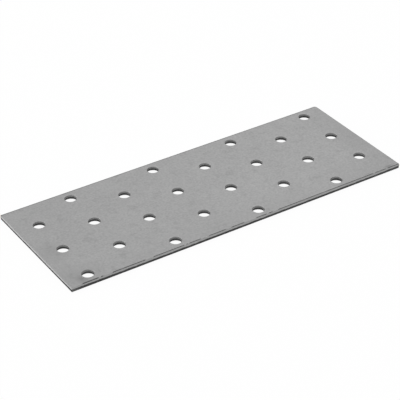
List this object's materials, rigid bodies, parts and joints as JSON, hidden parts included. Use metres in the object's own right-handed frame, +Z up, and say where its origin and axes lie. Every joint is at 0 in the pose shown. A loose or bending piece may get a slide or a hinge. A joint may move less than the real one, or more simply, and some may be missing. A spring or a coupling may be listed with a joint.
{
  "type": "mending plate",
  "caption": "Flat rectangular steel joining plate, perforated with staggered rows of round screw holes.",
  "frame": {"origin": "middle of the underside", "axes": "+X along the length, +Y along the width, +Z up out of the face with the rounded hole rims"},
  "size_m": [0.16, 0.06, 0.002],
  "materials": {
    "galvanised_steel": "hot-dip galvanised, matt grey, with smooth and torn bands on the sheared edges"
  },
  "bodies": {
    "root": {"mending_plate": "galvanised_steel"}
  },
  "joints": []
}
